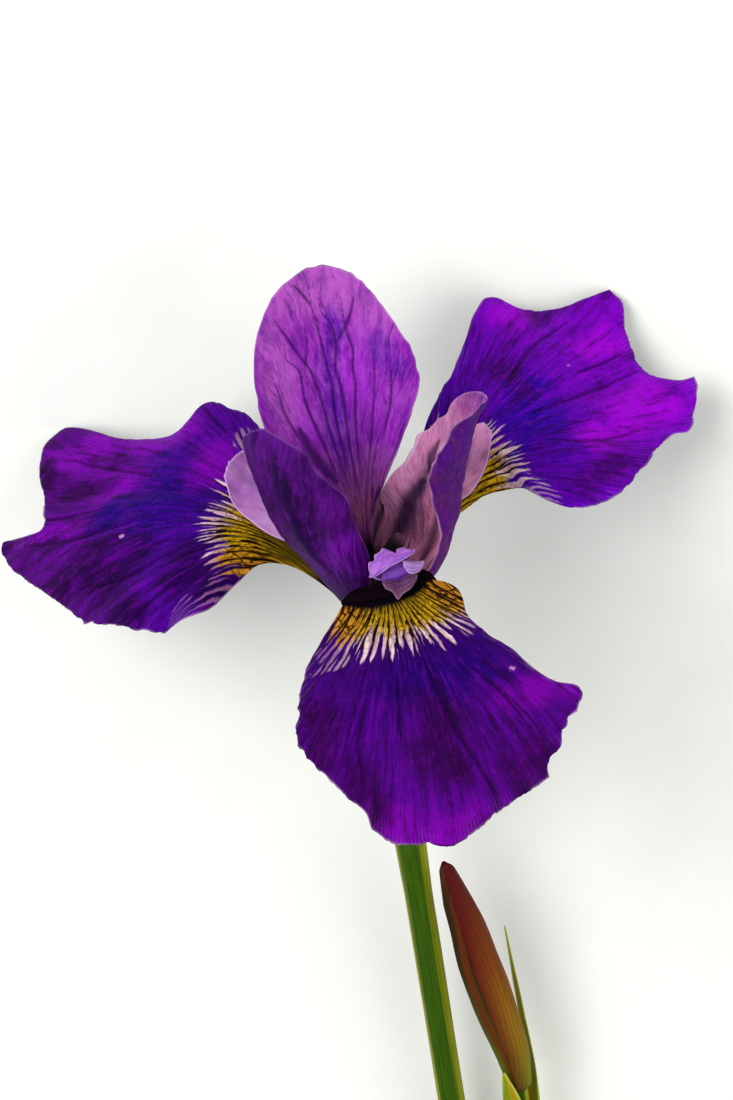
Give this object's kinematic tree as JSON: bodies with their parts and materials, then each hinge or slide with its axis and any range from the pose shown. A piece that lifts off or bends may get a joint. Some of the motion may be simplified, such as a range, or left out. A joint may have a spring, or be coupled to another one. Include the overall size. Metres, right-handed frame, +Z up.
{
  "type": "cut iris flower",
  "caption": "Violet bearded-free iris flower with yellow-signalled falls, purple standards and lilac style arms, on a cut green stem with a brown side bud, lying on its back",
  "frame": {"origin": "on the surface it lies on, at the middle of the patch the lying flower covers", "axes": "+Z is up from the surface; +Y runs along it from the stem's cut end to the flower's top; +X is to the right seen from above with the flower's top ahead"},
  "size_m": [0.1094, 0.1868, 0.0833],
  "materials": {
    "fall_violet": "soft velvety petal, satin",
    "standard_purple": "soft thin petal, satin",
    "style_lilac": "smooth pale petal, satin",
    "anther_cream": "powdery pollen, matte",
    "stem_green": "smooth waxy plant skin, semi-gloss",
    "spathe_green_brown": "dry papery leaf, matte",
    "bud_spathe_brown": "stiff leaf sheath, satin",
    "bud_violet": "furled petal, satin"
  },
  "bodies": {
    "root": {"fall_front": "fall_violet", "fall_left": "fall_violet", "fall_right": "fall_violet", "standard_back": "standard_purple", "standard_left": "standard_purple", "standard_right": "standard_purple", "style_arm_front": "style_lilac", "style_arm_left": "style_lilac", "style_arm_right": "style_lilac", "style_column": "style_lilac", "perianth_tube": "fall_violet", "filament_front": "style_lilac", "filament_left": "style_lilac", "filament_right": "style_lilac", "anther_front": "anther_cream", "anther_left": "anther_cream", "anther_right": "anther_cream", "ovary": "stem_green", "stem": "stem_green", "spathe_outer": "spathe_green_brown", "spathe_inner": "spathe_green_brown", "bud_stalk": "stem_green", "bud": "bud_violet", "bud_spathe_left": "bud_spathe_brown", "bud_spathe_right": "bud_spathe_brown", "bud_bract_long": "stem_green", "bud_bract_short": "stem_green"}
  },
  "joints": []
}
